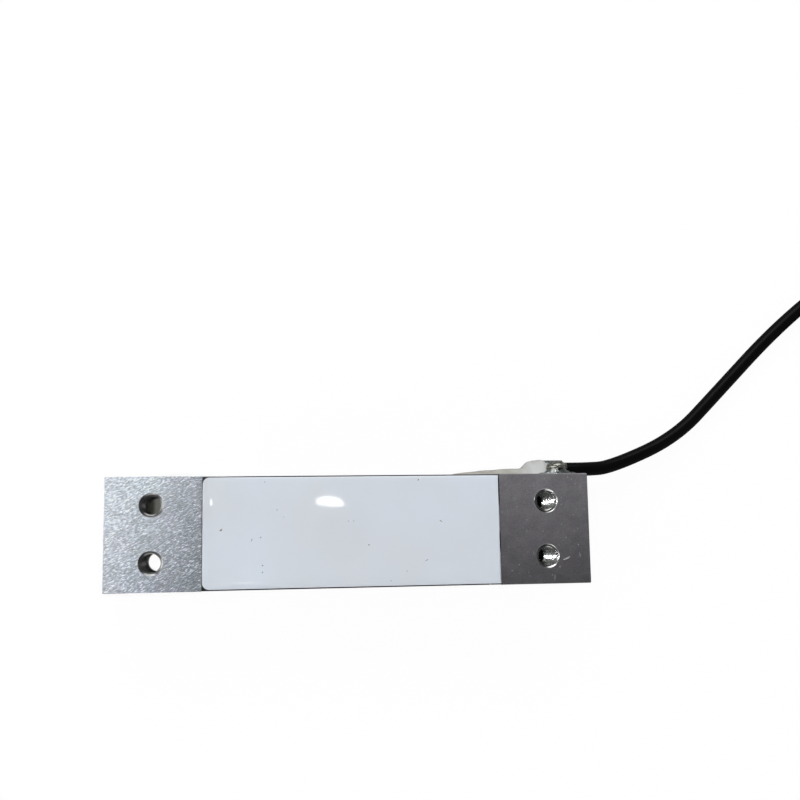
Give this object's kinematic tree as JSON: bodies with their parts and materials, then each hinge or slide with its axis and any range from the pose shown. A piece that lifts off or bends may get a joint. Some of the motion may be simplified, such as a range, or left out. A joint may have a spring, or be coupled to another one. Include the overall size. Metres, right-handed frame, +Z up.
{
  "type": "single point load cell",
  "caption": "Aluminium bending-beam load cell with a binocular cut-out, silicone-covered gauge recesses, threaded end holes and a side cable held by a screwed clip.",
  "frame": {"origin": "midway between the two mounting holes of the fixed end, on the bottom face", "axes": "+X along the beam from the live end towards the fixed end, where the cable leaves; +Y towards the side that carries the cable; +Z up, out of the loading face of the live end"},
  "size_m": [0.3381, 0.0991, 0.022],
  "materials": {
    "aluminium": "sawn and milled aluminium alloy, bright fine grain",
    "silicone": "white room-temperature curing silicone, glossy",
    "side_silicone": "milky translucent silicone smeared by hand",
    "polyimide": "amber polyimide film",
    "foil": "etched constantan foil",
    "copper": "tinned and enamelled copper",
    "resistor": "ceramic chip resistor, dark glaze",
    "zinc": "zinc plated steel strip",
    "screw_steel": "nickel plated steel",
    "cable_jacket": "black PVC jacket, satin",
    "tie_plastic": "black plastic tie",
    "core_red": "red PVC insulation",
    "core_black": "black PVC insulation",
    "core_green": "green PVC insulation",
    "core_white": "white PVC insulation",
    "solder": "tinned copper strands"
  },
  "bodies": {
    "root": {"beam": "aluminium", "bottom_fixed_gauge_film": "polyimide", "bottom_fixed_gauge_grid": "foil", "bottom_fixed_gauge_lead_a": "copper", "bottom_fixed_gauge_lead_b": "copper", "bottom_flex_board": "polyimide", "bottom_live_gauge_film": "polyimide", "bottom_live_gauge_grid": "foil", "bottom_live_gauge_lead_a": "copper", "bottom_live_gauge_lead_b": "copper", "bottom_potting": "silicone", "cable_clip": "zinc", "cable_coil": "cable_jacket", "cable_run": "cable_jacket", "cable_tail": "cable_jacket", "clip_lock_washer": "screw_steel", "clip_screw": "screw_steel", "clip_washer": "zinc", "coil_tie": "tie_plastic", "core_black": "core_black", "core_green": "core_green", "core_red": "core_red", "core_white": "core_white", "end_core_black": "core_black", "end_core_green": "core_green", "end_core_red": "core_red", "end_core_white": "core_white", "end_tip_black": "solder", "end_tip_green": "solder", "end_tip_red": "solder", "end_tip_white": "solder", "link_wire_1": "copper", "link_wire_2": "copper", "link_wire_3": "copper", "link_wire_4": "copper", "side_potting": "side_silicone", "span_resistor": "resistor", "temperature_resistor": "resistor", "top_fixed_gauge_film": "polyimide", "top_fixed_gauge_grid": "foil", "top_fixed_gauge_lead_a": "copper", "top_fixed_gauge_lead_b": "copper", "top_flex_board": "polyimide", "top_live_gauge_film": "polyimide", "top_live_gauge_grid": "foil", "top_live_gauge_lead_a": "copper", "top_live_gauge_lead_b": "copper", "top_potting": "silicone", "zero_resistor": "resistor"}
  },
  "joints": []
}
